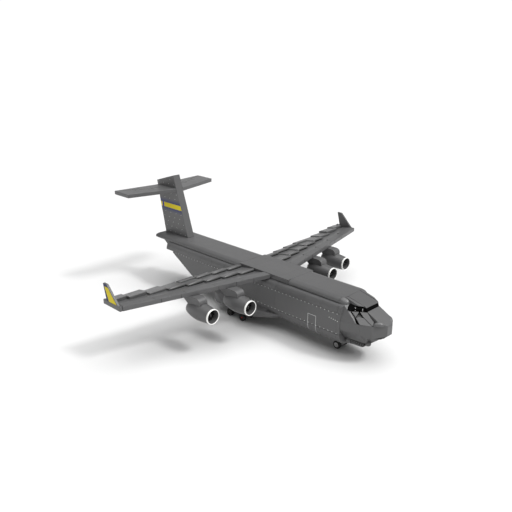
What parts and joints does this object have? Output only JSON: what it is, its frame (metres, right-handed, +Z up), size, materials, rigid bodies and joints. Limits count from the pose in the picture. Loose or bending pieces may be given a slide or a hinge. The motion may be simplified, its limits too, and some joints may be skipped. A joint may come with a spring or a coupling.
{
  "type": "brick-built toy military transport plane",
  "caption": "Brick-built toy cargo plane with a high stepped wing, T-tail, ducted engines, wheeled landing gear and a hinged rear cargo ramp.",
  "frame": {"origin": "on the ground under the middle of the overall box", "axes": "+Z up, nose towards -Y, starboard towards -X"},
  "size_m": [0.576, 0.562, 0.2189],
  "materials": {
    "grey_plastic": "moulded dark grey, soft sheen",
    "marked_plastic": "moulded dark grey with a plain yellow field and blue border on the outer face",
    "black_glazing": "opaque glossy black",
    "white_plastic": "moulded white",
    "black_plastic": "moulded black",
    "tyre_rubber": "matte black tyres on grey hubs"
  },
  "bodies": {
    "airframe": {"cargo_floor": "grey_plastic", "cockpit_roof_corner_port": "grey_plastic", "cockpit_roof_corner_starboard": "grey_plastic", "cockpit_roof_panel": "grey_plastic", "cockpit_roof_strip_port": "grey_plastic", "cockpit_roof_strip_starboard": "grey_plastic", "fin": "grey_plastic", "front_bulkhead": "grey_plastic", "intake_ring_inner_port": "white_plastic", "intake_ring_inner_starboard": "white_plastic", "intake_ring_outer_port": "white_plastic", "intake_ring_outer_starboard": "white_plastic", "lower_corner_port": "grey_plastic", "lower_corner_starboard": "grey_plastic", "main_gear_mount_port": "grey_plastic", "main_gear_mount_starboard": "grey_plastic", "nacelle_inner_port": "grey_plastic", "nacelle_inner_starboard": "grey_plastic", "nacelle_outer_port": "grey_plastic", "nacelle_outer_starboard": "grey_plastic", "nose_deck": "grey_plastic", "nose_gear_mount": "grey_plastic", "nose_lower_shell": "grey_plastic", "nose_slope": "grey_plastic", "pylon_inner_port": "grey_plastic", "pylon_inner_starboard": "grey_plastic", "pylon_outer_port": "grey_plastic", "pylon_outer_starboard": "grey_plastic", "roof_front": "grey_plastic", "roof_rear": "grey_plastic", "shoulder_port": "grey_plastic", "shoulder_starboard": "grey_plastic", "side_wall_port": "grey_plastic", "side_wall_starboard": "grey_plastic", "sponson_port": "grey_plastic", "sponson_starboard": "grey_plastic", "stabilizer_port": "grey_plastic", "stabilizer_starboard": "grey_plastic", "tail_underside": "grey_plastic", "windscreen": "black_glazing", "wing_beam_port": "grey_plastic", "wing_beam_starboard": "grey_plastic", "wing_center": "grey_plastic", "wing_front_blocks_port": "grey_plastic", "wing_front_blocks_starboard": "grey_plastic", "wing_rear_blocks_port": "grey_plastic", "wing_rear_blocks_starboard": "grey_plastic", "winglet_port": "marked_plastic", "winglet_starboard": "marked_plastic"},
    "cargo_ramp": {"cargo_ramp": "grey_plastic"},
    "fan_inner_starboard": {"fan_inner_starboard": "black_plastic"},
    "fan_inner_port": {"fan_inner_port": "black_plastic"},
    "fan_outer_starboard": {"fan_outer_starboard": "black_plastic"},
    "fan_outer_port": {"fan_outer_port": "black_plastic"},
    "main_wheels_front_starboard": {"main_wheels_front_starboard": "tyre_rubber"},
    "main_wheels_front_port": {"main_wheels_front_port": "tyre_rubber"},
    "main_wheels_rear_starboard": {"main_wheels_rear_starboard": "tyre_rubber"},
    "main_wheels_rear_port": {"main_wheels_rear_port": "tyre_rubber"},
    "nose_wheels": {"nose_wheels": "tyre_rubber"}
  },
  "joints": [
    {"name": "cargo_ramp_hinge", "type": "hinge", "parent": "airframe", "child": "cargo_ramp", "pos_m": [0, 0.099, 0.0264], "axis": [-1, 0, 0], "range_deg": [0, 44]},
    {"name": "fan_inner_starboard_spin", "type": "hinge", "parent": "airframe", "child": "fan_inner_starboard", "pos_m": [-0.1056, -0.0817, 0.0686], "axis": [0, 1, 0], "continuous": true},
    {"name": "fan_inner_port_spin", "type": "hinge", "parent": "airframe", "child": "fan_inner_port", "pos_m": [0.1056, -0.0817, 0.0686], "axis": [0, 1, 0], "continuous": true},
    {"name": "fan_outer_starboard_spin", "type": "hinge", "parent": "airframe", "child": "fan_outer_starboard", "pos_m": [-0.1688, -0.0637, 0.0682], "axis": [0, 1, 0], "continuous": true},
    {"name": "fan_outer_port_spin", "type": "hinge", "parent": "airframe", "child": "fan_outer_port", "pos_m": [0.1688, -0.0637, 0.0682], "axis": [0, 1, 0], "continuous": true},
    {"name": "main_wheels_front_starboard_roll", "type": "hinge", "parent": "airframe", "child": "main_wheels_front_starboard", "pos_m": [-0.036, -0.012, 0.0068], "axis": [1, 0, 0], "continuous": true},
    {"name": "main_wheels_front_port_roll", "type": "hinge", "parent": "airframe", "child": "main_wheels_front_port", "pos_m": [0.036, -0.012, 0.0068], "axis": [1, 0, 0], "continuous": true},
    {"name": "main_wheels_rear_starboard_roll", "type": "hinge", "parent": "airframe", "child": "main_wheels_rear_starboard", "pos_m": [-0.036, 0.0195, 0.0068], "axis": [1, 0, 0], "continuous": true},
    {"name": "main_wheels_rear_port_roll", "type": "hinge", "parent": "airframe", "child": "main_wheels_rear_port", "pos_m": [0.036, 0.0195, 0.0068], "axis": [1, 0, 0], "continuous": true},
    {"name": "nose_wheels_roll", "type": "hinge", "parent": "airframe", "child": "nose_wheels", "pos_m": [0, -0.192, 0.0068], "axis": [1, 0, 0], "continuous": true}
  ]
}
